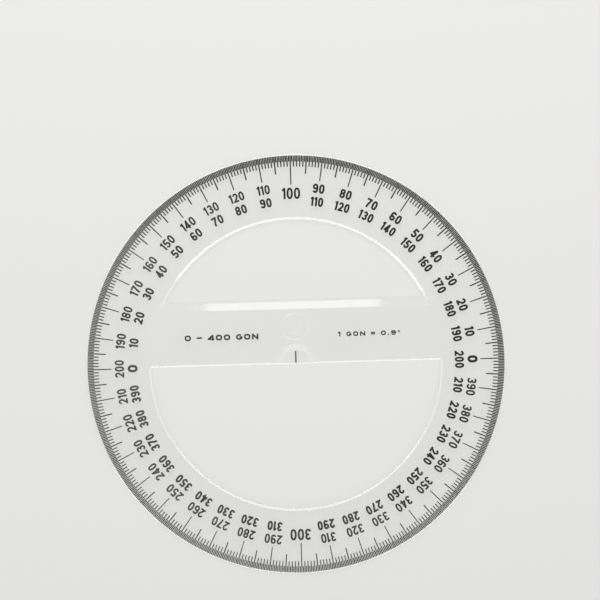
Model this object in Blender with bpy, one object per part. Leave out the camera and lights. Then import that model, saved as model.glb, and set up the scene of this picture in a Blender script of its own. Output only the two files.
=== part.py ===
"""A clear full-circle drawing protractor, divided into 400 gon, as one moulding with its black print.

Metres, +Z up. The origin is the centre of the circle on the underside, +X points to the 0 mark,
+Y to the 100 mark, and the printed reading face looks up.
"""

import math

import bmesh
import bpy

# Moulding
OUTER_RADIUS = 0.0750
PLATE_THICKNESS = 0.0020
RIM_THICKNESS = 0.0010
RIM_BEVEL_WIDTH = 0.0078
RIM_EDGE_WIDTH = 0.0005
RIM_EDGE_HEIGHT = 0.0004
RING_WIDTH = 0.0235
CROSSBAR_WIDTH = 0.0230
CROSSBAR_BEVEL_WIDTH = 0.0034
CROSSBAR_EDGE_THICKNESS = 0.0008
CROSSBAR_CHAMFER_WIDTH = 0.0005
CROSSBAR_CHAMFER_HEIGHT = 0.00035
WINDOW_CHAMFER_WIDTH = 0.0010
WINDOW_CHAMFER_HEIGHT = 0.0007

# Thinned dish round the centre, open at the crossbar's lower edge
DISH_FLOOR_RADIUS = 0.0049
DISH_SLOPE_WIDTH = 0.0023
DISH_FLOOR_THICKNESS = 0.0008

# Mark left by the moulding gate: a shallow round recess with a low nub in its middle
GATE_RADIUS = 0.00485
GATE_DEPTH = 0.0003
GATE_WALL_WIDTH = 0.0006
GATE_NUB_RADIUS = 0.0023
GATE_NUB_HEIGHT = 0.0002
GATE_NUB_WALL_WIDTH = 0.0004

# Print, with tick lengths measured inwards from the rim
DIVISIONS = 400
TICK_WIDTH = 0.00026
ONE_GON_TICK = 0.00453
FIVE_GON_TICK = 0.00702
TEN_GON_TICK = 0.00917
QUARTER_TICK = 0.01106
QUARTER_DIVISIONS = (100, 300)
RIM_LINE_WIDTH = 0.00015
RIM_LINE_INSET = 0.0006
CENTRE_MARK_WIDTH = 0.00045
CENTRE_MARK_INSET = 0.00010
PRINT_THICKNESS = 0.00005
PRINT_CLEARANCE = 0.00002

# Fineness of the round stretches, and how far a cutter stands out of what it cuts
RIM_SEGMENTS = 200
WINDOW_SEGMENTS = 80
DISH_SEGMENTS = 48
CUTTER_OVERRUN = 0.0010
SMOOTH_ANGLE = math.radians(20)

# Sizes that follow from those above
BEVEL_RADIUS = OUTER_RADIUS - RIM_BEVEL_WIDTH
WINDOW_RADIUS = OUTER_RADIUS - RING_WIDTH
DISH_RADIUS = DISH_FLOOR_RADIUS + DISH_SLOPE_WIDTH
GATE_CENTRE_Y = (DISH_RADIUS + CROSSBAR_WIDTH - CROSSBAR_BEVEL_WIDTH) / 2
CUTTER_TOP = PLATE_THICKNESS + CUTTER_OVERRUN


def clear_scene():
    for old in list(bpy.data.objects):
        bpy.data.objects.remove(old, do_unlink=True)


def make_material(name, colour, roughness, transmission=0.0, ior=1.5):
    material = bpy.data.materials.new(name)
    material.use_nodes = True
    shader = material.node_tree.nodes["Principled BSDF"]
    shader.inputs["Base Color"].default_value = (*colour, 1.0)
    shader.inputs["Roughness"].default_value = roughness
    shader.inputs["Metallic"].default_value = 0.0
    shader.inputs["Transmission Weight"].default_value = transmission
    shader.inputs["IOR"].default_value = ior
    return material


def make_object(name, form):
    """An object made from a finished bmesh, shaded smooth across its shallow edges."""
    mesh = bpy.data.meshes.new(name)
    bmesh.ops.recalc_face_normals(form, faces=form.faces)
    form.to_mesh(mesh)
    form.free()
    mesh.shade_smooth()
    mesh.set_sharp_from_angle(angle=SMOOTH_ANGLE)
    made = bpy.data.objects.new(name, mesh)
    bpy.context.scene.collection.objects.link(made)
    return made


def loft(name, loops):
    """A closed solid through loops of equal counts, listed from the lowest up, with flat ends."""
    form = bmesh.new()
    rings = [[form.verts.new(point) for point in loop] for loop in loops]
    for lower, upper in zip(rings, rings[1:]):
        for i in range(len(lower)):
            after = (i + 1) % len(lower)
            form.faces.new((lower[i], lower[after], upper[after], upper[i]))
    form.faces.new(reversed(rings[0]))
    form.faces.new(rings[-1])
    return make_object(name, form)


def circle(radius, height, segments, centre_y=0.0):
    """Points round a circle, half a step off the X axis so that none lies on the crossbar's edge."""
    points = []
    for i in range(segments):
        angle = math.tau * (i + 0.5) / segments
        points.append((radius * math.cos(angle), centre_y + radius * math.sin(angle), height))
    return points


def window_outline(radius, chord, height, above):
    """A circle's stretch above the line y = chord, or below it, closed by that line."""
    corner = math.asin(chord / radius)
    start = corner if above else math.pi - corner
    sweep = math.pi - 2 * corner if above else math.pi + 2 * corner
    points = []
    for i in range(WINDOW_SEGMENTS + 1):
        angle = start + sweep * i / WINDOW_SEGMENTS
        points.append((radius * math.cos(angle), radius * math.sin(angle), height))
    return points


def slope(height, foot, width):
    """How far a sloped edge has opened at a height, from none at its foot to its width at the top."""
    return width * max(0.0, (height - foot) / (PLATE_THICKNESS - foot))


def top_height(radius):
    """The reading face's height on the ring, flat inside the rim's bevel."""
    share = max(0.0, (radius - BEVEL_RADIUS) / RIM_BEVEL_WIDTH)
    return PLATE_THICKNESS - share * (PLATE_THICKNESS - RIM_THICKNESS)


def cut(plate, cutter):
    cutter.hide_render = True
    cutter.display_type = 'WIRE'
    difference = plate.modifiers.new(cutter.name, 'BOOLEAN')
    difference.operation = 'DIFFERENCE'
    difference.solver = 'EXACT'
    difference.object = cutter


def upper_window_cutter():
    """The window above the crossbar, whose straight edge has the wide bevel."""
    chamfer_foot = PLATE_THICKNESS - WINDOW_CHAMFER_HEIGHT
    feet = sorted((CROSSBAR_EDGE_THICKNESS, chamfer_foot))
    loops = []
    for height in (-CUTTER_OVERRUN, *feet, CUTTER_TOP):
        radius = WINDOW_RADIUS + slope(height, chamfer_foot, WINDOW_CHAMFER_WIDTH)
        opened = slope(height, CROSSBAR_EDGE_THICKNESS, CROSSBAR_BEVEL_WIDTH)
        loops.append(window_outline(radius, CROSSBAR_WIDTH - opened, height, above=True))
    return loft("upper_window_cutter", loops)


def lower_window_cutter():
    """The half disc below the crossbar, whose straight edge lies on the 0 to 200 diameter."""
    chamfer_foot = PLATE_THICKNESS - WINDOW_CHAMFER_HEIGHT
    crossbar_foot = PLATE_THICKNESS - CROSSBAR_CHAMFER_HEIGHT
    loops = []
    for height in (-CUTTER_OVERRUN, chamfer_foot, crossbar_foot, CUTTER_TOP):
        radius = WINDOW_RADIUS + slope(height, chamfer_foot, WINDOW_CHAMFER_WIDTH)
        opened = slope(height, crossbar_foot, CROSSBAR_CHAMFER_WIDTH)
        loops.append(window_outline(radius, opened, height, above=False))
    return loft("lower_window_cutter", loops)


def dish_cutter():
    top_radius = DISH_FLOOR_RADIUS + slope(CUTTER_TOP, DISH_FLOOR_THICKNESS, DISH_SLOPE_WIDTH)
    floor = circle(DISH_FLOOR_RADIUS, DISH_FLOOR_THICKNESS, DISH_SEGMENTS)
    return loft("dish_cutter", (floor, circle(top_radius, CUTTER_TOP, DISH_SEGMENTS)))


def gate_cutter():
    floor_height = PLATE_THICKNESS - GATE_DEPTH
    nub_height = floor_height + GATE_NUB_HEIGHT
    sections = (
        (GATE_NUB_RADIUS, nub_height),
        (GATE_NUB_RADIUS + GATE_NUB_WALL_WIDTH, floor_height),
        (GATE_RADIUS - GATE_WALL_WIDTH, floor_height),
        (GATE_RADIUS, PLATE_THICKNESS),
        (GATE_RADIUS, CUTTER_TOP),
    )
    loops = [circle(radius, height, DISH_SEGMENTS, GATE_CENTRE_Y) for radius, height in sections]
    return loft("gate_cutter", loops)


def moulded_plate():
    rim_edge_radius = OUTER_RADIUS - RIM_EDGE_WIDTH
    sections = (
        (OUTER_RADIUS, 0.0),
        (OUTER_RADIUS, RIM_THICKNESS - RIM_EDGE_HEIGHT),
        (rim_edge_radius, top_height(rim_edge_radius)),
        (BEVEL_RADIUS, PLATE_THICKNESS),
    )
    plate = loft("moulded_plate", [circle(radius, height, RIM_SEGMENTS) for radius, height in sections])
    for cutter in (upper_window_cutter(), lower_window_cutter(), dish_cutter(), gate_cutter()):
        cut(plate, cutter)
    return plate


def tick_length(division):
    if division in QUARTER_DIVISIONS:
        return QUARTER_TICK
    if division % 10 == 0:
        return TEN_GON_TICK
    if division % 5 == 0:
        return FIVE_GON_TICK
    return ONE_GON_TICK


def tick_stations(division, line_inner, line_outer):
    """The radii along one tick from its tip to the rim line, with one more where it meets the bevel."""
    tip = OUTER_RADIUS - tick_length(division)
    crease = [BEVEL_RADIUS] if tip < BEVEL_RADIUS else []
    return [tip, *crease, line_inner, line_outer]


def tick_corners(form, division, radius):
    """The four corners of a tick's section at one radius: bottom and top on its two sides."""
    angle = math.tau * division / DIVISIONS
    base = top_height(radius) + PRINT_CLEARANCE
    corners = []
    for side in (-TICK_WIDTH / 2, TICK_WIDTH / 2):
        x = radius * math.cos(angle) - side * math.sin(angle)
        y = radius * math.sin(angle) + side * math.cos(angle)
        corners.append(form.verts.new((x, y, base)))
        corners.append(form.verts.new((x, y, base + PRINT_THICKNESS)))
    return corners


def graduation_print():
    """All the ticks, held together by a hair line just inside the rim that they run into."""
    line_outer = OUTER_RADIUS - RIM_LINE_INSET
    line_inner = line_outer - RIM_LINE_WIDTH
    form = bmesh.new()
    ticks = []
    for division in range(DIVISIONS):
        stations = tick_stations(division, line_inner, line_outer)
        ticks.append([tick_corners(form, division, radius) for radius in stations])
    for tick, following in zip(ticks, ticks[1:] + ticks[:1]):
        for inner, outer in zip(tick, tick[1:]):
            form.faces.new((inner[1], inner[3], outer[3], outer[1]))
            form.faces.new((inner[0], outer[0], outer[2], inner[2]))
        for inner, outer in zip(tick[:-1], tick[1:-1]):
            form.faces.new((inner[0], inner[1], outer[1], outer[0]))
            form.faces.new((inner[2], outer[2], outer[3], inner[3]))
        tip = tick[0]
        end = tick[-1]
        form.faces.new((tip[0], tip[2], tip[3], tip[1]))
        form.faces.new((end[0], end[1], end[3], end[2]))
        join_ticks(form, tick[-2:], following[-2:])
    return make_object("graduation_print", form)


def join_ticks(form, tick, following):
    """The stretch of rim line from one tick to the next."""
    near, far = tick
    next_near, next_far = following
    form.faces.new((near[3], next_near[1], next_far[1], far[3]))
    form.faces.new((near[2], far[2], next_far[0], next_near[0]))
    form.faces.new((near[2], next_near[0], next_near[1], near[3]))
    form.faces.new((far[2], far[3], next_far[1], next_far[0]))


def centre_mark_print():
    """The index line on the dish's floor, from the diameter towards the 100 mark."""
    half_width = CENTRE_MARK_WIDTH / 2
    start = CENTRE_MARK_INSET
    end = DISH_FLOOR_RADIUS - CENTRE_MARK_INSET
    base = DISH_FLOOR_THICKNESS + PRINT_CLEARANCE
    outline = ((-half_width, start), (half_width, start), (half_width, end), (-half_width, end))
    loops = [[(x, y, height) for x, y in outline] for height in (base, base + PRINT_THICKNESS)]
    return loft("centre_mark_print", loops)


def main():
    clear_scene()
    protractor = bpy.data.objects.new("protractor", None)
    bpy.context.scene.collection.objects.link(protractor)

    plate = moulded_plate()
    scale = graduation_print()
    centre_mark = centre_mark_print()

    clear_styrene = make_material("clear_styrene", (0.90, 0.91, 0.90), 0.06, transmission=1.0, ior=1.57)
    scale_ink = make_material("scale_ink", (0.015, 0.015, 0.016), 0.45)
    centre_mark_ink = make_material("centre_mark_ink", (0.015, 0.015, 0.016), 0.45)

    for piece, material in ((plate, clear_styrene), (scale, scale_ink), (centre_mark, centre_mark_ink)):
        piece.data.materials.append(material)
        piece.parent = protractor


main()
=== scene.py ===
"""Looks of the clear full-circle protractor: its polished moulding, its black print and a pale studio.

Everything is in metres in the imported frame: the circle's centre on the underside is the origin, +X points
to the 0 mark, +Y to the 100 mark and +Z up through the reading face.
"""

import math
from collections import namedtuple

import bmesh
import bpy
import numpy as np
from mathutils import Matrix, Vector


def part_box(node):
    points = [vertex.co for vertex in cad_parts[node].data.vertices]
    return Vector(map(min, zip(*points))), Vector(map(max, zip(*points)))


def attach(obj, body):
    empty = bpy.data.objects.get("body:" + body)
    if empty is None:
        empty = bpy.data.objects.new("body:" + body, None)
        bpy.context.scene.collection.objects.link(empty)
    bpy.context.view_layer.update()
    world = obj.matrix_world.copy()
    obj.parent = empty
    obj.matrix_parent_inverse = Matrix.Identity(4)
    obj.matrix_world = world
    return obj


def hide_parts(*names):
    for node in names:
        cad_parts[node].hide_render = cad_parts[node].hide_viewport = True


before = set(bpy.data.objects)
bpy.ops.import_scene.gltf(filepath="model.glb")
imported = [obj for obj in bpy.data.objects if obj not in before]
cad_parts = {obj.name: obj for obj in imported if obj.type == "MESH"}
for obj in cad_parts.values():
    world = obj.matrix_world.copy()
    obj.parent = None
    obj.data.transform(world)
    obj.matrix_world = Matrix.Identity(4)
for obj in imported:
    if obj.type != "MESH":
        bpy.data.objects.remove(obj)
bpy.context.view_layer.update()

plate_low, plate_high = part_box("moulded_plate")

# Moulding, from the frame and the part's own sizes
OUTER_RADIUS = (plate_high.x - plate_low.x) / 2
PLATE_THICKNESS = plate_high.z - plate_low.z
RIM_THICKNESS = 0.0010
RIM_BEVEL_WIDTH = 0.0078
RIM_EDGE_WIDTH = 0.0005
RIM_EDGE_HEIGHT = 0.00036
RING_WIDTH = 0.0235
CROSSBAR_WIDTH = 0.0230
CROSSBAR_BEVEL_WIDTH = 0.0034
CROSSBAR_EDGE_THICKNESS = 0.0008
CROSSBAR_CHAMFER_WIDTH = 0.00065
CROSSBAR_CHAMFER_HEIGHT = 0.00057
WINDOW_CHAMFER_WIDTH = 0.0010
WINDOW_CHAMFER_HEIGHT = 0.00095
WINDOW_CORNER_RADIUS = 0.0006
DISH_FLOOR_RADIUS = 0.0049
DISH_SLOPE_WIDTH = 0.0023
DISH_FLOOR_THICKNESS = 0.0008
DISH_FRONT_WIDTH = 0.0004
DISH_FRONT_HEIGHT = 0.00035
GATE_RADIUS = 0.00485
GATE_DEPTH = 0.00017
GATE_WALL_WIDTH = 0.00019
GATE_NUB_RADIUS = 0.0023
GATE_NUB_HEIGHT = 0.00013
GATE_NUB_WALL_WIDTH = 0.000145

# Rounding that a polished mould leaves on the edges
EDGE_ROUND = 0.00012
RIM_EDGE_ROUND = 0.00015
BEVEL_CREASE_ROUND = 0.0060
CHAMFER_FOOT_ROUND = 0.0004
CROSSBAR_EDGE_ROUND = 0.00095
CROSSBAR_FOOT_ROUND = 0.0003
DISH_FLOOR_ROUND = 0.0012
DISH_LIP_ROUND = 0.0003
GATE_ROUND = 0.0001

# Cutting and smooth shading
EDGE_OVERSHOOT = 0.00001
CUTTER_OVERRUN = 0.0010
HEIGHT_DIGITS = 9
SHARP_ANGLE = math.radians(30)
FLAT_FACE_WEIGHT = 100
SAME_AREA = 1e-9

# Fineness of the round stretches
ROUND_STEPS = 6
RIM_SEGMENTS = 600
WINDOW_SEGMENTS = 240
CORNER_SEGMENTS = 8
DISH_SEGMENTS = 128

# Print: tick lengths run inwards from the rim, and numeral rows are given by the radius of their middle
DIVISIONS = 400
FIVE_GON = 5
TEN_GON = 10
HALF_TICK = 0.00273
ONE_GON_TICK = 0.00453
FIVE_GON_TICK = 0.00702
TEN_GON_TICK = 0.00917
QUARTER_TICK = 0.01106
QUARTERS = (100, 300)
HALF_TICK_WIDTH = 0.00045
ONE_GON_WIDTH = 0.000395
LONG_TICK_WIDTH = 0.00044
LONG_TICK_TIP_WIDTH = 0.00035
HEAVY_PRINT_DIVISION = 105
HEAVY_PRINT_SPREAD = 0.10
TICK_RIM_INSET = 0.00057
TICK_STATION_STEP = 0.0012
FEWEST_STATIONS = 2
CENTRE_MARK_WIDTH = 0.00045
CENTRE_MARK_INSET = 0.00030
PRINT_THICKNESS = 0.00003
PRINT_CLEARANCE = 0.000004
OUTER_ROW_RADIUS = 0.06302
INNER_ROW_RADIUS = 0.05831
QUARTER_ROW_RADIUS = 0.06088

BEVEL_RADIUS = OUTER_RADIUS - RIM_BEVEL_WIDTH
WINDOW_RADIUS = OUTER_RADIUS - RING_WIDTH
DISH_RADIUS = DISH_FLOOR_RADIUS + DISH_SLOPE_WIDTH
GATE_CENTRE_Y = (DISH_RADIUS + CROSSBAR_WIDTH - CROSSBAR_BEVEL_WIDTH) / 2
CUTTER_TOP = PLATE_THICKNESS + CUTTER_OVERRUN


# Mesh helpers

def link(name, mesh):
    made = bpy.data.objects.new(name, mesh)
    bpy.context.scene.collection.objects.link(made)
    return made


def loft(name, loops):
    """A closed solid through loops of equal counts, listed from the lowest up, with flat ends."""
    count = len(loops[0])
    points = [point for loop in loops for point in loop]
    faces = [list(reversed(range(count)))]
    for level in range(len(loops) - 1):
        lower = level * count
        upper = lower + count
        for i in range(count):
            after = (i + 1) % count
            faces.append((lower + i, lower + after, upper + after, upper + i))
    faces.append(list(range(len(points) - count, len(points))))
    mesh = bpy.data.meshes.new(name)
    mesh.from_pydata(points, [], faces)
    mesh.shade_smooth()
    return link(name, mesh)


def circle(radius, height, segments, centre_y=0.0):
    """Points round a circle, half a step off the X axis so that none lies on the crossbar's edge."""
    angles = [math.tau * (i + 0.5) / segments for i in range(segments)]
    return [(radius * math.cos(a), centre_y + radius * math.sin(a), height) for a in angles]


def rounded(corners, radii):
    """A polyline with an arc of the given radius at each inner corner."""
    points = [Vector(corners[0])]
    for before, corner, after, radius in zip(corners, corners[1:], corners[2:], radii):
        corner = Vector(corner)
        arriving = (Vector(before) - corner).normalized()
        leaving = (Vector(after) - corner).normalized()
        half_angle = arriving.angle(leaving) / 2
        reach = radius / math.tan(half_angle)
        middle = corner + (arriving + leaving).normalized() * radius / math.sin(half_angle)
        first = corner + arriving * reach - middle
        last = corner + leaving * reach - middle
        turn = first.angle_signed(last)
        for i in range(ROUND_STEPS + 1):
            points.append(middle + Matrix.Rotation(-turn * i / ROUND_STEPS, 2) @ first)
    points.append(Vector(corners[-1]))
    return points


def apply_modifiers(piece):
    bpy.context.view_layer.update()
    evaluated = piece.evaluated_get(bpy.context.evaluated_depsgraph_get())
    mesh = bpy.data.meshes.new_from_object(evaluated)
    piece.modifiers.clear()
    piece.data = mesh


def combine(piece, others, operation):
    """Cuts the other solids from a piece, or joins them to it, and removes them."""
    for other in others:
        modifier = piece.modifiers.new(other.name, 'BOOLEAN')
        modifier.operation = operation
        modifier.solver = 'EXACT'
        modifier.object = other
    apply_modifiers(piece)
    for other in others:
        bpy.data.objects.remove(other)


# Moulding

def window_edge(foot, width, foot_round):
    """The wall of a window: straight to its foot, then sloping open by its width, with rounded edges."""
    bottom = -EDGE_OVERSHOOT
    top = PLATE_THICKNESS + EDGE_OVERSHOOT
    corners = (
        (2 * EDGE_ROUND, bottom),
        (0.0, bottom),
        (0.0, foot),
        (width, top),
        (width + 2 * EDGE_ROUND, top),
    )
    profile = rounded(corners, (EDGE_ROUND, foot_round, EDGE_ROUND))[1:-1]
    heights = [-CUTTER_OVERRUN, *(point.y for point in profile), CUTTER_TOP]
    openings = [profile[0].x, *(point.x for point in profile), profile[-1].x]
    return heights, openings


def window_outline(radius, chord, height, mirror):
    """A circle's stretch beyond the line y = chord, with rounded corners, turned downwards by mirror -1."""
    corner = WINDOW_CORNER_RADIUS
    corner_y = chord + corner
    corner_x = math.sqrt((radius - corner) ** 2 - corner_y ** 2)
    meeting = math.atan2(corner_y, corner_x)
    arc = np.linspace(meeting, math.pi - meeting, WINDOW_SEGMENTS)
    left = np.linspace(math.pi - meeting, 1.5 * math.pi, CORNER_SEGMENTS)[1:]
    right = np.linspace(-0.5 * math.pi, meeting, CORNER_SEGMENTS)[:-1]
    points = [(radius * math.cos(a), radius * math.sin(a)) for a in arc]
    points += [(corner * math.cos(a) - corner_x, corner * math.sin(a) + corner_y) for a in left]
    points += [(corner * math.cos(a) + corner_x, corner * math.sin(a) + corner_y) for a in right]
    return [(mirror * x, mirror * y, height) for x, y in points]


def window_cutter(name, chord, chord_edge, mirror):
    """A window's cutter, with the chamfer along its arc and the crossbar's own edge along its chord."""
    arc_foot = PLATE_THICKNESS - WINDOW_CHAMFER_HEIGHT
    arc_edge = window_edge(arc_foot, WINDOW_CHAMFER_WIDTH, CHAMFER_FOOT_ROUND)
    loops = []
    for height in sorted({round(h, HEIGHT_DIGITS) for h in arc_edge[0] + chord_edge[0]}):
        radius = WINDOW_RADIUS + np.interp(height, *arc_edge)
        opened = np.interp(height, *chord_edge)
        loops.append(window_outline(radius, chord - opened, height, mirror))
    return loft(name, loops)


def recess_cutter(name, corners, radii, lip_round, centre_y):
    """A cutter turned about an upright axis, from a profile of radius and height that ends at the face."""
    mouth, lip = corners[-1]
    profile = rounded((*corners, (mouth + 2 * lip_round, lip)), (*radii, lip_round))[:-1]
    profile.append(Vector((profile[-1].x, CUTTER_TOP)))
    return loft(name, [circle(p.x, p.y, DISH_SEGMENTS, centre_y) for p in profile])


def dish_cutter():
    corners = (
        (DISH_FLOOR_RADIUS / 2, DISH_FLOOR_THICKNESS),
        (DISH_FLOOR_RADIUS, DISH_FLOOR_THICKNESS),
        (DISH_RADIUS, PLATE_THICKNESS + EDGE_OVERSHOOT),
    )
    return recess_cutter("dish_cutter", corners, (DISH_FLOOR_ROUND,), DISH_LIP_ROUND, 0.0)


def dish_front_cutter():
    """The small slope along the thin front of the dish, which follows its floor and its slopes."""
    drop = DISH_FRONT_HEIGHT / DISH_FRONT_WIDTH
    rise = CUTTER_TOP - DISH_FLOOR_THICKNESS
    mouth = DISH_FLOOR_RADIUS + rise * DISH_SLOPE_WIDTH / (PLATE_THICKNESS - DISH_FLOOR_THICKNESS)
    loops = []
    for y in (-CUTTER_OVERRUN, DISH_FRONT_WIDTH):
        low = DISH_FLOOR_THICKNESS - drop * (DISH_FRONT_WIDTH - y)
        outline = (
            (mouth, low + rise),
            (DISH_FLOOR_RADIUS, low),
            (-DISH_FLOOR_RADIUS, low),
            (-mouth, low + rise),
        )
        loops.append([(x, y, z) for x, z in outline])
    return loft("dish_front_cutter", loops)


def gate_cutter():
    floor_height = PLATE_THICKNESS - GATE_DEPTH
    nub_height = floor_height + GATE_NUB_HEIGHT
    corners = (
        (GATE_NUB_RADIUS / 2, nub_height),
        (GATE_NUB_RADIUS, nub_height),
        (GATE_NUB_RADIUS + GATE_NUB_WALL_WIDTH, floor_height),
        (GATE_RADIUS - GATE_WALL_WIDTH, floor_height),
        (GATE_RADIUS, PLATE_THICKNESS + EDGE_OVERSHOOT),
    )
    return recess_cutter("gate_cutter", corners, (GATE_ROUND,) * 3, GATE_ROUND, GATE_CENTRE_Y)


def rim_profile():
    """The disc's outer profile from its underside round the rim and up the bevel to the flat face."""
    edge_share = RIM_EDGE_WIDTH / RIM_BEVEL_WIDTH
    edge_top = RIM_THICKNESS + edge_share * (PLATE_THICKNESS - RIM_THICKNESS)
    corners = (
        (BEVEL_RADIUS, 0.0),
        (OUTER_RADIUS, 0.0),
        (OUTER_RADIUS, RIM_THICKNESS - RIM_EDGE_HEIGHT),
        (OUTER_RADIUS - RIM_EDGE_WIDTH, edge_top),
        (BEVEL_RADIUS, PLATE_THICKNESS),
        (BEVEL_RADIUS - RIM_BEVEL_WIDTH, PLATE_THICKNESS),
    )
    return rounded(corners, (EDGE_ROUND, RIM_EDGE_ROUND, RIM_EDGE_ROUND, BEVEL_CREASE_ROUND))[1:-1]


def clear_plate():
    loops = [circle(p.x, p.y, RIM_SEGMENTS) for p in rim_profile()]
    plate = loft("clear_plate", loops)
    bevel = window_edge(CROSSBAR_EDGE_THICKNESS, CROSSBAR_BEVEL_WIDTH, CROSSBAR_EDGE_ROUND)
    crossbar_foot = PLATE_THICKNESS - CROSSBAR_CHAMFER_HEIGHT
    diameter_edge = window_edge(crossbar_foot, CROSSBAR_CHAMFER_WIDTH, CROSSBAR_FOOT_ROUND)
    cutters = (
        window_cutter("upper_window", CROSSBAR_WIDTH, bevel, 1),
        window_cutter("lower_window", 0.0, diameter_edge, -1),
        dish_cutter(),
        gate_cutter(),
        dish_front_cutter(),
    )
    combine(plate, cutters, 'DIFFERENCE')
    plate.data.shade_smooth()
    plate.data.set_sharp_from_angle(angle=SHARP_ANGLE)
    weighted = plate.modifiers.new("flat_faces_stay_flat", 'WEIGHTED_NORMAL')
    weighted.keep_sharp = True
    weighted.weight = FLAT_FACE_WEIGHT
    weighted.thresh = SAME_AREA
    apply_modifiers(plate)
    return plate


def face_height(radius):
    """The reading face's height at a radius on the ring."""
    upper = [p for p in rim_profile() if p.y > RIM_THICKNESS]
    upper.reverse()
    return float(np.interp(radius, [p.x for p in upper], [p.y for p in upper]))


# Print

def tick_size(half_division):
    """The length of a graduation and its width at the tip and at the rim."""
    if half_division % 2:
        return HALF_TICK, HALF_TICK_WIDTH, HALF_TICK_WIDTH
    division = half_division // 2
    if division in QUARTERS:
        return QUARTER_TICK, LONG_TICK_TIP_WIDTH, LONG_TICK_WIDTH
    if division % TEN_GON == 0:
        return TEN_GON_TICK, LONG_TICK_TIP_WIDTH, LONG_TICK_WIDTH
    if division % FIVE_GON == 0:
        return FIVE_GON_TICK, LONG_TICK_WIDTH, LONG_TICK_WIDTH
    return ONE_GON_TICK, ONE_GON_WIDTH, ONE_GON_WIDTH


def print_weight(angle):
    """How much wider the ink spread where the stamp pressed harder, on one side of the circle."""
    heaviest = math.tau * HEAVY_PRINT_DIVISION / DIVISIONS
    return 1 + HEAVY_PRINT_SPREAD * math.cos(angle - heaviest)


def bar_faces(form, sections, closed):
    """The faces of a bar through its sections, with flat ends unless it closes on itself."""
    following = sections[1:] + sections[:1] if closed else sections[1:]
    for near, far in zip(sections, following):
        for i, corner in enumerate(near):
            after = (i + 1) % len(near)
            form.faces.new((corner, near[after], far[after], far[i]))
    if not closed:
        form.faces.new(reversed(sections[0]))
        form.faces.new(sections[-1])


def tick_bar(form, angle, radii, widths):
    """One tick as a thin closed bar lying on the reading face along a ray, given as widths at radii."""
    across = Vector((-math.sin(angle), math.cos(angle), 0))
    along = Vector((math.cos(angle), math.sin(angle), 0))
    sections = []
    for radius, width in zip(radii, widths):
        base = along * radius + Vector((0, 0, face_height(radius) + PRINT_CLEARANCE))
        top = base + Vector((0, 0, PRINT_THICKNESS))
        side = across * width / 2
        corners = (base - side, base + side, top + side, top - side)
        sections.append([form.verts.new(corner) for corner in corners])
    bar_faces(form, sections, closed=False)


def tick_ring(name, half_divisions):
    """A ring of graduations, each a separate bar of ink."""
    form = bmesh.new()
    for half_division in half_divisions:
        length, tip_width, rim_width = tick_size(half_division)
        stations = max(FEWEST_STATIONS, 1 + math.ceil(length / TICK_STATION_STEP))
        radii = np.linspace(OUTER_RADIUS - length, OUTER_RADIUS - TICK_RIM_INSET, stations)
        angle = math.tau * half_division / (2 * DIVISIONS)
        widths = np.linspace(tip_width, rim_width, stations) * print_weight(angle)
        tick_bar(form, angle, radii, widths)
    return finished_print(name, form)


def scale_ticks():
    return tick_ring("scale_ticks", range(0, 2 * DIVISIONS, 2))


def half_gon_ticks():
    return tick_ring("half_gon_ticks", range(1, 2 * DIVISIONS, 2))


def finished_print(name, form):
    bmesh.ops.recalc_face_normals(form, faces=form.faces)
    mesh = bpy.data.meshes.new(name)
    form.to_mesh(mesh)
    form.free()
    return link(name, mesh)


# Numerals are drawn as strokes in a cap height of 1, one list of strokes for each sign

Lettering = namedtuple("Lettering", "height stroke width gap")
OUTER_STYLES = {
    1: Lettering(0.00362, 0.25, 0.72, 0.09),
    2: Lettering(0.00338, 0.212, 0.585, 0.09),
    3: Lettering(0.00331, 0.19, 0.57, 0.09),
}
INNER_STYLES = {
    1: Lettering(0.00353, 0.25, 0.76, 0.09),
    2: Lettering(0.00327, 0.21, 0.59, 0.09),
    3: Lettering(0.00330, 0.212, 0.565, 0.09),
}
QUARTER_STYLES = {3: Lettering(0.00405, 0.178, 0.555, 0.09)}
LEGEND_STYLE = Lettering(0.00210, 0.29, 1.10, 0.26)
NOTE_STYLE = Lettering(0.00165, 0.27, 1.10, 0.40)
LEGEND_X = 0.0263
LEGEND_Y = 0.0102
ONE_WIDTH_SHARE = 0.55
WORD_SPACE = 0.45
DEGREE_RING = 0.17
DEGREE_STROKE_SHARE = 0.55
CURVE_STEPS = 20
FEWEST_STEPS = 6
LEAST_MITRE = 0.3
CAP_MIDDLE = 0.5
WAIST = 0.52
UPPER_BOWL_SHARE = 0.92
SMALL_BOWL = 0.24
LOOP_HALF = 0.305
NINE_LOOP_MIDDLE = 0.695
FIVE_BOWL = 0.325
FOUR_BAR = 0.27
G_BAR = 0.47
SHORT_SIGN_SHARE = 0.8
EQUALS_HEIGHTS = (0.34, 0.66)
ZERO_SQUARE = 2.35
CAPITAL_SQUARE = 2.6
LOOP_SQUARE = 2.2
EIGHT_SQUARE = 2.1


def bow(centre, radii, start, end):
    """A stretch of an ellipse between two angles in degrees, drawn either way round."""
    steps = max(FEWEST_STEPS, round(CURVE_STEPS * abs(end - start) / 180))
    angles = np.radians(np.linspace(start, end, steps))
    return [(centre[0] + radii[0] * math.cos(a), centre[1] + radii[1] * math.sin(a)) for a in angles]


def hoop(centre, radii, square=2.0):
    """A whole ellipse, drawn squarer by a higher power, as a closed stroke."""
    angles = np.linspace(0, math.tau, 2 * CURVE_STEPS, endpoint=False)
    points = []
    for a in angles:
        x = math.copysign(abs(math.cos(a)) ** (2 / square), math.cos(a))
        y = math.copysign(abs(math.sin(a)) ** (2 / square), math.sin(a))
        points.append((centre[0] + radii[0] * x, centre[1] + radii[1] * y))
    return points + points[:1]


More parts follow.
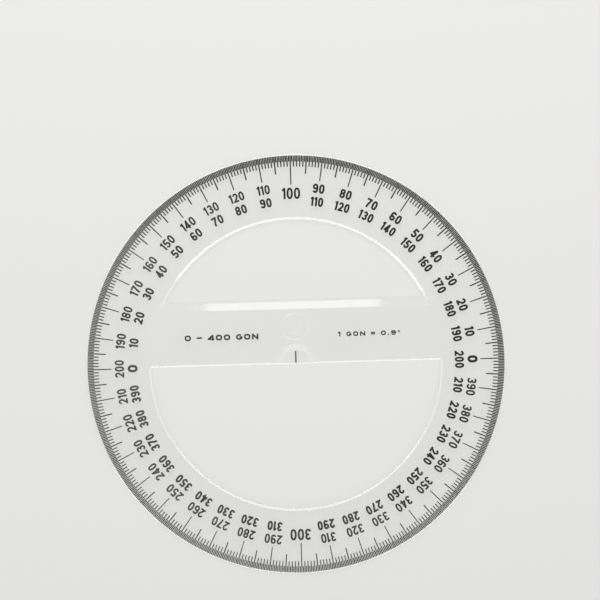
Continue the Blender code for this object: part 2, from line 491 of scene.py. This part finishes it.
def sign_strokes(sign, style):
    """The width of a sign and the centre lines of its strokes."""
    half = style.stroke / 2
    width = style.width
    middle = width / 2
    left = half
    right = width - half
    top = 1 - half
    wide = middle - half
    short = width * SHORT_SIGN_SHARE
    whole = ((middle, CAP_MIDDLE), (wide, top - CAP_MIDDLE))
    upper = ((middle, (top + WAIST) / 2), (wide * UPPER_BOWL_SHARE, (top - WAIST) / 2))
    lower = ((middle, (half + WAIST) / 2), (wide, (WAIST - half) / 2))
    if sign == "0":
        return width, [hoop(*whole, ZERO_SQUARE)]
    if sign == "1":
        narrow = width * ONE_WIDTH_SHARE
        stem = narrow - half
        return narrow, [[(stem, 0), (stem, 1)], [(0.02, 0.74), (stem, 0.93)]]
    if sign == "2":
        bowl = ((middle, top - SMALL_BOWL), (wide, SMALL_BOWL))
        return width, [bow(*bowl, 172, -32) + [(left + 0.03, half)], [(0, half), (width, half)]]
    if sign == "3":
        return width, [
            bow(*upper, 165, -90) + [(middle - 0.07, WAIST)],
            [(middle - 0.07, WAIST)] + bow(*lower, 90, -165),
        ]
    if sign == "4":
        stem = width - 0.10 - half
        bar = FOUR_BAR
        return width + 0.02, [
            [(stem, 0), (stem, 1)],
            [(0, bar), (width + 0.02, bar)],
            [(stem - half * 0.2, top), (half * 0.9, bar)],
        ]
    if sign == "5":
        bowl = ((middle - 0.01, FIVE_BOWL), (wide + 0.01, FIVE_BOWL - half))
        return width, [
            [(left + 0.03, top), (right + half * 0.6, top)],
            [(left + 0.045, 1 - half * 0.2), (left + 0.01, 0.46)],
            bow(*bowl, 146, -162),
        ]
    if sign == "6":
        return width, [
            hoop((middle, LOOP_HALF), (wide, LOOP_HALF - half), LOOP_SQUARE),
            bow((middle, top - SMALL_BOWL), (wide, SMALL_BOWL), 22, 180) + [(left, LOOP_HALF)],
        ]
    if sign == "7":
        return width, [
            [(0, top), (width, top)],
            [(right, top), (middle + 0.06, 0.56), (middle - 0.05, 0.26), (middle - 0.085, 0)],
        ]
    if sign == "8":
        return width, [hoop(*upper, EIGHT_SQUARE), hoop(*lower, EIGHT_SQUARE)]
    if sign == "9":
        return width, [
            hoop((middle, NINE_LOOP_MIDDLE), (wide, LOOP_HALF - half), LOOP_SQUARE),
            bow((middle, half + SMALL_BOWL), (wide, SMALL_BOWL), -158, 0) + [(right, NINE_LOOP_MIDDLE)],
        ]
    if sign == "G":
        bar = G_BAR
        return width, [
            bow(*whole, 42, 318),
            [(right, 0.14), (right, bar + half)],
            [(middle + 0.04, bar), (right, bar)],
        ]
    if sign == "O":
        return width, [hoop(*whole, CAPITAL_SQUARE)]
    if sign == "N":
        return width, [
            [(left, 0), (left, 1)],
            [(right, 0), (right, 1)],
            [(left, 1 - half), (right, half)],
        ]
    if sign == "=":
        return short, [[(0, height), (short, height)] for height in EQUALS_HEIGHTS]
    if sign == "-":
        return short, [[(0, CAP_MIDDLE), (short, CAP_MIDDLE)]]
    if sign == ".":
        return style.stroke, [[(half, 0), (half, style.stroke)]]
    if sign == "\u00b0":
        ring = DEGREE_RING
        edge = half * DEGREE_STROKE_SHARE
        return 2 * (ring + edge), [hoop((ring + edge, 1 - ring - edge), (ring, ring))]
    raise ValueError(sign)


def stroke_solid(name, path, stroke):
    """A stroke of ink with square ends and mitred corners, one unit thick, as a closed solid."""
    closed = path[0] == path[-1]
    points = [Vector(p) for p in (path[:-1] if closed else path)]
    count = len(points)
    edges = []
    for i, point in enumerate(points):
        before = points[i - 1] if closed or i else point
        after = points[(i + 1) % count] if closed or i < count - 1 else point
        arriving = (point - before).normalized()
        leaving = (after - point).normalized()
        along = (arriving + leaving).normalized()
        mitre = Vector((-along.y, along.x))
        bend = max(LEAST_MITRE, along.dot(leaving if leaving.length else arriving))
        offset = mitre * stroke / 2 / bend
        edges.append((point + offset, point - offset))
    form = bmesh.new()
    sections = []
    for left, right in edges:
        corners = ((left, 0), (right, 0), (right, 1), (left, 1))
        sections.append([form.verts.new((p.x, p.y, z)) for p, z in corners])
    bar_faces(form, sections, closed)
    return finished_print(name, form)


def sign_mesh(sign, style):
    """One sign's ink, its strokes joined into one outline."""
    width, paths = sign_strokes(sign, style)
    stroke = style.stroke * (DEGREE_STROKE_SHARE if sign == "\u00b0" else 1)
    strokes = [stroke_solid(f"stroke_{i}", path, stroke) for i, path in enumerate(paths)]
    if len(strokes) > 1:
        combine(strokes[0], strokes[1:], 'UNION')
    mesh = strokes[0].data
    bpy.data.objects.remove(strokes[0])
    return width, mesh


def set_words(form, words, signs, style, place):
    """Adds words to a print: signs set side by side, centred, and moved to their place."""
    widths = [signs[sign][0] if sign in signs else WORD_SPACE for sign in words]
    pen = -(sum(widths) + style.gap * (len(words) - 1)) / 2
    sized = Matrix.Diagonal((style.height, style.height, PRINT_THICKNESS, 1))
    for sign, width in zip(words, widths):
        if sign in signs:
            first = len(form.verts)
            form.from_mesh(signs[sign][1])
            form.verts.ensure_lookup_table()
            moved = place @ sized @ Matrix.Translation((pen, -CAP_MIDDLE, 0))
            bmesh.ops.transform(form, matrix=moved, verts=form.verts[first:])
        pen += width + style.gap


def label_place(division, radius):
    """The place of a numeral whose top points outwards from the centre."""
    angle = math.tau * division / DIVISIONS
    lift = PLATE_THICKNESS + PRINT_CLEARANCE
    turn = Matrix.Rotation(angle - math.pi / 2, 4, 'Z')
    return turn @ Matrix.Translation((0, radius, lift))


def numeral_row(name, labels, radius, styles):
    """A ring of numerals, each drawn in the style for its count of digits."""
    signs = {count: {d: sign_mesh(d, style) for d in "0123456789"} for count, style in styles.items()}
    form = bmesh.new()
    for division, number in labels:
        words = str(number)
        count = len(words)
        set_words(form, words, signs[count], styles[count], label_place(division, radius))
    return finished_print(name, form)


def legend(name, words, style, centre_x):
    """A line of small lettering on the crossbar."""
    signs = {sign: sign_mesh(sign, style) for sign in sorted(set(words) - {" "})}
    form = bmesh.new()
    lift = PLATE_THICKNESS + PRINT_CLEARANCE
    set_words(form, words, signs, style, Matrix.Translation((centre_x, LEGEND_Y, lift)))
    return finished_print(name, form)


def outer_numerals():
    labels = [(d, d) for d in range(0, DIVISIONS, TEN_GON) if d not in QUARTERS]
    return numeral_row("outer_numerals", labels, OUTER_ROW_RADIUS, OUTER_STYLES)


def inner_numerals():
    """The second row counts the other way, from 0 at the left."""
    steps = [d for d in range(0, DIVISIONS, TEN_GON) if d not in QUARTERS]
    labels = [(d, (DIVISIONS // 2 - d) % DIVISIONS) for d in steps]
    return numeral_row("inner_numerals", labels, INNER_ROW_RADIUS, INNER_STYLES)


def quarter_numerals():
    labels = [(d, d) for d in QUARTERS]
    return numeral_row("quarter_numerals", labels, QUARTER_ROW_RADIUS, QUARTER_STYLES)


def centre_line():
    """The index line on the dish's floor, from the diameter towards the 100 mark."""
    start = DISH_FRONT_WIDTH
    end = DISH_FLOOR_RADIUS - CENTRE_MARK_INSET
    line = stroke_solid("centre_line", [(0, start), (0, end)], CENTRE_MARK_WIDTH)
    lift = DISH_FLOOR_THICKNESS + PRINT_CLEARANCE
    line.data.transform(Matrix.Translation((0, 0, lift)) @ Matrix.Diagonal((1, 1, PRINT_THICKNESS, 1)))
    return line


# Materials: each noise is given by its scale and detail, and each mask by the range it is drawn from

UNIT = (0.0, 1.0)
SCRATCHES = ((0.4, (14, 1500, 1)), (2.1, (9, 1100, 1)))
STREAK_NOISE = (1.0, 3.0)
STREAK_RANGE = (0.63, 0.72)
WORN_NOISE = (55.0, 2.0)
WORN_RANGE = (0.42, 0.68)

STYRENE_IOR = 1.57
PLATE_SCUFFS = 1.0
CLOUD_NOISE = (22.0, 2.0)
CLOUD_RANGE = (0.35, 0.65)
CLOUDED_TINT = (0.986, 0.990, 0.985)
CLEAREST_TINT = (0.996, 0.999, 0.996)
# Painted shade: how much darker the plastic's tint is made over the gate recess
GATE_PAINTED_SHADE = -1.2
POLISH_NOISE = (70.0, 3.0)
POLISH_RANGE = (0.35, 0.75)
POLISH = (0.018, 0.045)
SCUFF_DULLING = 0.22
SCUFF_DEPTH = -0.04
WAVE_NOISE = (34.0, 1.0)
WAVE_HEIGHT = 0.00003
UPRIGHT_RANGE = (0.0, 0.9)
WALL_PASSES = 0.86
FRONT_PASSES = 1.0
INNER_REFLECTIONS = 2.5
LED_OUT_TINT = (0.66, 0.70, 0.67)

INK_SCUFFS = 0.6
TOWARDS_THIN_INK = (-5.5, -3.5, 0)
PATCH_NOISE = (45.0, 2.0)
PATCH_SHARE = 1.3
GRAIN_NOISE = (1600.0, 2.0)
GRAIN_SHARE = 0.5
WORN_INK_SHARE = 0.3
THIN_INK_RANGE = (0.75, 1.75)
THICK_INK_TINT = (0.012, 0.012, 0.013)
THIN_INK_TINT = (0.105, 0.104, 0.102)
INK_DULLNESS = (0.42, 0.62)
INK_FACE_NOISE = (2400.0, 2.0)
INK_FACE_HEIGHT = 0.000004
INK_PASSES = 0.88


def new_material(name):
    material = bpy.data.materials.new(name)
    material.use_nodes = True
    return material, material.node_tree.nodes, material.node_tree.links


def noise(nodes, links, place, scale, detail):
    texture = nodes.new("ShaderNodeTexNoise")
    texture.inputs["Scale"].default_value = scale
    texture.inputs["Detail"].default_value = detail
    links.new(place, texture.inputs["Vector"])
    return texture.outputs["Fac"]


def ranged(nodes, links, value, source, target):
    """A value carried from one range to another and held inside it."""
    carried = nodes.new("ShaderNodeMapRange")
    carried.inputs["From Min"].default_value, carried.inputs["From Max"].default_value = source
    carried.inputs["To Min"].default_value, carried.inputs["To Max"].default_value = target
    links.new(value, carried.inputs["Value"])
    return carried.outputs["Result"]


def sum_of(nodes, links, first, second, share):
    """The first value plus a share of the second."""
    added = nodes.new("ShaderNodeMath")
    added.operation = 'MULTIPLY_ADD'
    links.new(second, added.inputs[0])
    added.inputs[1].default_value = share
    links.new(first, added.inputs[2])
    return added.outputs[0]


def joined(nodes, links, operation, first, second):
    """Two values joined into one, such as the larger of the two."""
    result = nodes.new("ShaderNodeMath")
    result.operation = operation
    links.new(first, result.inputs[0])
    links.new(second, result.inputs[1])
    return result.outputs[0]


def measured(nodes, links, place, operation, other=(0, 0, 0)):
    """A number that a place gives together with another vector, such as its distance from it."""
    measure = nodes.new("ShaderNodeVectorMath")
    measure.operation = operation
    measure.inputs[1].default_value = other
    links.new(place, measure.inputs[0])
    return measure.outputs["Value"]


def size_along(nodes, links, vector, axis):
    """A vector's part along one axis, without its sign."""
    parts = nodes.new("ShaderNodeSeparateXYZ")
    links.new(vector, parts.inputs[0])
    unsigned = nodes.new("ShaderNodeMath")
    unsigned.operation = 'ABSOLUTE'
    links.new(parts.outputs[axis], unsigned.inputs[0])
    return unsigned.outputs[0]


def tinted(nodes, links, mask, first, second):
    """One colour where a mask is 0, going over to another where it is 1."""
    mixed = nodes.new("ShaderNodeMix")
    mixed.data_type = 'RGBA'
    mixed.inputs["A"].default_value = (*first, 1)
    mixed.inputs["B"].default_value = (*second, 1)
    links.new(mask, mixed.inputs["Factor"])
    return mixed.outputs["Result"]


def bumped(nodes, links, shader, height, distance):
    bump = nodes.new("ShaderNodeBump")
    bump.inputs["Strength"].default_value = 1.0
    bump.inputs["Distance"].default_value = distance
    links.new(height, bump.inputs["Height"])
    links.new(bump.outputs["Normal"], shader.inputs["Normal"])


def fine_scuffs():
    """A group for the hairline scuffs of handling: a mask of thin broken scratches that run two ways."""
    group = bpy.data.node_groups.new("fine_scuffs", 'ShaderNodeTree')
    group.interface.new_socket("Place", in_out='INPUT', socket_type='NodeSocketVector')
    group.interface.new_socket("Reach", in_out='INPUT', socket_type='NodeSocketFloat')
    group.interface.new_socket("Scuffs", in_out='OUTPUT', socket_type='NodeSocketFloat')
    nodes, links = group.nodes, group.links
    entry = nodes.new("NodeGroupInput")
    place = entry.outputs["Place"]
    scratches = []
    for turn, stretch in SCRATCHES:
        turned = nodes.new("ShaderNodeMapping")
        turned.inputs["Rotation"].default_value = (0, 0, turn)
        links.new(place, turned.inputs["Vector"])
        drawn_out = nodes.new("ShaderNodeVectorMath")
        drawn_out.operation = 'MULTIPLY'
        drawn_out.inputs[1].default_value = stretch
        links.new(turned.outputs["Vector"], drawn_out.inputs[0])
        streaks = noise(nodes, links, drawn_out.outputs["Vector"], *STREAK_NOISE)
        scratches.append(ranged(nodes, links, streaks, STREAK_RANGE, UNIT))
    worn = ranged(nodes, links, noise(nodes, links, place, *WORN_NOISE), WORN_RANGE, UNIT)
    links.new(entry.outputs["Reach"], worn.node.inputs["To Max"])
    broken = joined(nodes, links, 'MULTIPLY', joined(nodes, links, 'MAXIMUM', *scratches), worn)
    leave = nodes.new("NodeGroupOutput")
    links.new(broken, leave.inputs["Scuffs"])
    return group


def placed_scuffs(nodes, links, group, reach):
    """The scuffs set in a material by the object's own coordinates; returns both."""
    place = nodes.new("ShaderNodeTexCoord").outputs["Object"]
    scuffs = nodes.new("ShaderNodeGroup")
    scuffs.node_tree = group
    scuffs.inputs["Reach"].default_value = reach
    links.new(place, scuffs.inputs["Place"])
    return place, scuffs.outputs["Scuffs"]


def led_out(nodes, links, shader):
    """A shader whose rays go straight out of the plate once they have been to and fro inside it."""
    leaving = nodes.new("ShaderNodeBsdfTransparent")
    leaving.inputs["Color"].default_value = (*LED_OUT_TINT, 1)
    rays = nodes.new("ShaderNodeLightPath")
    deep = nodes.new("ShaderNodeMath")
    deep.operation = 'GREATER_THAN'
    deep.inputs[1].default_value = INNER_REFLECTIONS
    links.new(rays.outputs["Ray Depth"], deep.inputs[0])
    mixed = nodes.new("ShaderNodeMixShader")
    links.new(deep.outputs[0], mixed.inputs[0])
    links.new(shader.outputs[0], mixed.inputs[1])
    links.new(leaving.outputs[0], mixed.inputs[2])
    return mixed


def lamps_let_through(nodes, links, shader):
    """Mixes a shader so that light goes on to the paper below; returns what sets the light's share."""
    passing = nodes.new("ShaderNodeBsdfTransparent")
    rays = nodes.new("ShaderNodeLightPath")
    surface = shader
    for kind in ("Is Shadow Ray", "Is Diffuse Ray"):
        mixed = nodes.new("ShaderNodeMixShader")
        links.new(rays.outputs[kind], mixed.inputs[0])
        links.new(surface.outputs[0], mixed.inputs[1])
        links.new(passing.outputs[0], mixed.inputs[2])
        surface = mixed
    links.new(surface.outputs[0], nodes["Material Output"].inputs["Surface"])
    return passing


def share_let_through(nodes, links, place):
    """The plate's share of light: less at its walls, but not at its thin rim or the crossbar's front."""
    normal = nodes.new("ShaderNodeNewGeometry").outputs["True Normal"]
    upright = size_along(nodes, links, normal, "Z")
    walls = ranged(nodes, links, upright, UPRIGHT_RANGE, (WALL_PASSES, 1.0))
    bevel = (BEVEL_RADIUS, OUTER_RADIUS - RIM_EDGE_WIDTH)
    thin_rim = ranged(nodes, links, measured(nodes, links, place, 'DISTANCE'), bevel, UNIT)
    off_diameter = size_along(nodes, links, place, "Y")
    front_edge = (CROSSBAR_CHAMFER_WIDTH, 2 * CROSSBAR_CHAMFER_WIDTH)
    front = ranged(nodes, links, off_diameter, front_edge, (FRONT_PASSES, 0.0))
    return joined(nodes, links, 'MAXIMUM', joined(nodes, links, 'MAXIMUM', walls, thin_rim), front)


def clear_styrene(scuff_group):
    """Polished clear styrene: faintly clouded, slightly wavy from the mould, with hairline scuffs and
    painted shade over the gate.
    """
    material, nodes, links = new_material("clear_styrene")
    shader = nodes["Principled BSDF"]
    shader.inputs["Metallic"].default_value = 0.0
    shader.inputs["IOR"].default_value = STYRENE_IOR
    shader.inputs["Transmission Weight"].default_value = 1.0
    place, scuffs = placed_scuffs(nodes, links, scuff_group, PLATE_SCUFFS)
    clouds = ranged(nodes, links, noise(nodes, links, place, *CLOUD_NOISE), CLOUD_RANGE, UNIT)
    from_gate = measured(nodes, links, place, 'DISTANCE', (0, GATE_CENTRE_Y, PLATE_THICKNESS))
    gate_edge = (GATE_RADIUS, GATE_RADIUS - GATE_WALL_WIDTH)
    gate = ranged(nodes, links, from_gate, gate_edge, UNIT)
    # Painted shade: the gate's mask lowers the clearness there, so the tint is darker over the recess
    clearness_and_gate_shade = sum_of(nodes, links, clouds, gate, GATE_PAINTED_SHADE)
    colour = tinted(nodes, links, clearness_and_gate_shade, CLOUDED_TINT, CLEAREST_TINT)
    links.new(colour, shader.inputs["Base Color"])
    polish = ranged(nodes, links, noise(nodes, links, place, *POLISH_NOISE), POLISH_RANGE, POLISH)
    links.new(sum_of(nodes, links, polish, scuffs, SCUFF_DULLING), shader.inputs["Roughness"])
    waves = noise(nodes, links, place, *WAVE_NOISE)
    bumped(nodes, links, shader, sum_of(nodes, links, waves, scuffs, SCUFF_DEPTH), WAVE_HEIGHT)
    passing = lamps_let_through(nodes, links, led_out(nodes, links, shader))
    links.new(share_let_through(nodes, links, place), passing.inputs["Color"])
    return material


def black_ink(scuff_group):
    """Stamped black ink, thinner towards the lower left, with a fine grain and the scuffs of the face."""
    material, nodes, links = new_material("black_ink")
    shader = nodes["Principled BSDF"]
    place, scuffs = placed_scuffs(nodes, links, scuff_group, INK_SCUFFS)
    slant = measured(nodes, links, place, 'DOT_PRODUCT', TOWARDS_THIN_INK)
    patchy = sum_of(nodes, links, slant, noise(nodes, links, place, *PATCH_NOISE), PATCH_SHARE)
    grainy = sum_of(nodes, links, patchy, noise(nodes, links, place, *GRAIN_NOISE), GRAIN_SHARE)
    worn = sum_of(nodes, links, grainy, scuffs, WORN_INK_SHARE)
    thin = ranged(nodes, links, worn, THIN_INK_RANGE, UNIT)
    links.new(tinted(nodes, links, thin, THICK_INK_TINT, THIN_INK_TINT), shader.inputs["Base Color"])
    links.new(ranged(nodes, links, thin, UNIT, INK_DULLNESS), shader.inputs["Roughness"])
    bumped(nodes, links, shader, noise(nodes, links, place, *INK_FACE_NOISE), INK_FACE_HEIGHT)
    passing = lamps_let_through(nodes, links, shader)
    passing.inputs["Color"].default_value = (INK_PASSES, INK_PASSES, INK_PASSES, 1)
    return material


# Stage, light and camera

PIXELS = 600
DISC_CENTRE_PX = (296.00, 363.95)
DISC_RADIUS_PX = 210.20
PHOTO_TURN = math.radians(1.649)
LENS_MM = 200.0
SENSOR_MM = 36.0
FLOOR_HALF = 3.0
FLOOR_DROP = 0.00002
FLOOR_COLOUR = (0.782, 0.782, 0.766)
FLOOR_ROUGHNESS = 0.9
DOME_HEIGHTS = (0.60, 0.97)
DOME_LEVELS = (0.91, 0.39)

# Soft panels, with angles in degrees; some are seen only as reflections on the polished edges
Panel = namedtuple("Panel", "name azimuth elevation distance width height radiance reflected_only")
PANELS = (
    Panel("key_softbox", 90, 46, 1.2, 0.5, 0.5, 8.0, False),
    Panel("bar_panel", 90.3, 51, 1.1, 0.119, 0.30, 3.3, True),
    Panel("near_strip", -95, 6, 1.0, 3.0, 0.15, 3.0, True),
    Panel("dish_strip", -90, 36, 1.0, 3.5, 0.16, 0.5, True),
    Panel("far_strip", 90, 6, 1.0, 4.0, 0.15, 2.9, True),
    Panel("right_strip", 0, 6, 1.0, 2.2, 0.15, 1.0, True),
    Panel("left_strip", 180, 6, 1.0, 2.2, 0.15, 1.0, True),
)


def floor():
    half = FLOOR_HALF
    mesh = bpy.data.meshes.new("floor")
    corners = [(-half, -half, 0), (half, -half, 0), (half, half, 0), (-half, half, 0)]
    mesh.from_pydata(corners, [], [(0, 1, 2, 3)])
    made = link("floor", mesh)
    made.location.z = -FLOOR_DROP
    material, nodes, links = new_material("pale_floor")
    shader = nodes["Principled BSDF"]
    shader.inputs["Base Color"].default_value = (*FLOOR_COLOUR, 1)
    shader.inputs["Roughness"].default_value = FLOOR_ROUGHNESS
    shader.inputs["Specular IOR Level"].default_value = 0.0
    mesh.materials.append(material)


def soft_panel(panel):
    """An area lamp that faces the object."""
    data = bpy.data.lights.new(panel.name, 'AREA')
    data.shape = 'RECTANGLE'
    data.size = panel.width
    data.size_y = panel.height
    data.energy = math.pi * panel.width * panel.height * panel.radiance
    made = bpy.data.objects.new(panel.name, data)
    azimuth = math.radians(panel.azimuth)
    elevation = math.radians(panel.elevation)
    flat = panel.distance * math.cos(elevation)
    height = panel.distance * math.sin(elevation)
    place = Vector((flat * math.cos(azimuth), flat * math.sin(azimuth), height))
    made.location = place
    made.rotation_euler = (-place).to_track_quat('-Z', 'Y').to_euler()
    made.visible_diffuse = not panel.reflected_only
    made.visible_transmission = False
    made.visible_glossy = panel.reflected_only
    bpy.context.scene.collection.objects.link(made)


def studio():
    """A pale room, darker overhead, with its soft panels."""
    world = bpy.data.worlds.new("soft_white_room")
    bpy.context.scene.world = world
    world.use_nodes = True
    nodes, links = world.node_tree.nodes, world.node_tree.links
    nodes["Background"].inputs["Color"].default_value = (1, 1, 1, 1)
    direction = nodes.new("ShaderNodeTexCoord")
    parts = nodes.new("ShaderNodeSeparateXYZ")
    links.new(direction.outputs["Generated"], parts.inputs[0])
    dome = ranged(nodes, links, parts.outputs["Z"], DOME_HEIGHTS, DOME_LEVELS)
    dome.node.interpolation_type = 'SMOOTHSTEP'
    links.new(dome, nodes["Background"].inputs["Strength"])
    for panel in PANELS:
        soft_panel(panel)


def camera():
    """Straight down, turned and offset so that the disc lies in the picture as photographed."""
    metres_per_pixel = OUTER_RADIUS / DISC_RADIUS_PX
    across = (PIXELS / 2 - DISC_CENTRE_PX[0]) * metres_per_pixel
    up = (DISC_CENTRE_PX[1] - PIXELS / 2) * metres_per_pixel
    turn = Matrix.Rotation(-PHOTO_TURN, 3, 'Z')
    aim = turn @ Vector((across, up, 0))
    distance = LENS_MM / SENSOR_MM * PIXELS * metres_per_pixel
    data = bpy.data.cameras.new("camera")
    data.lens = LENS_MM
    data.sensor_width = SENSOR_MM
    made = bpy.data.objects.new("camera", data)
    made.location = aim + Vector((0, 0, PLATE_THICKNESS + distance))
    made.rotation_euler = (0, 0, -PHOTO_TURN)
    bpy.context.scene.collection.objects.link(made)
    bpy.context.scene.camera = made


# Assembly

scuff_group = fine_scuffs()
plate = clear_plate()
plate.data.materials.clear()
plate.data.materials.append(clear_styrene(scuff_group))
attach(plate, "root")
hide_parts("moulded_plate")

ink = black_ink(scuff_group)
prints = [
    (scale_ticks(), "graduation_print"),
    (half_gon_ticks(), None),
    (centre_line(), "centre_mark_print"),
    (outer_numerals(), None),
    (inner_numerals(), None),
    (quarter_numerals(), None),
    (legend("range_legend", "0 - 400 GON", LEGEND_STYLE, -LEGEND_X), None),
    (legend("unit_note", "1 GON = 0.9\u00b0", NOTE_STYLE, LEGEND_X), None),
]
for printed, node in prints:
    printed.data.materials.clear()
    printed.data.materials.append(ink)
    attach(printed, "root")
    if node:
        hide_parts(node)

floor()
studio()
camera()
bpy.context.scene.view_settings.view_transform = 'Standard'
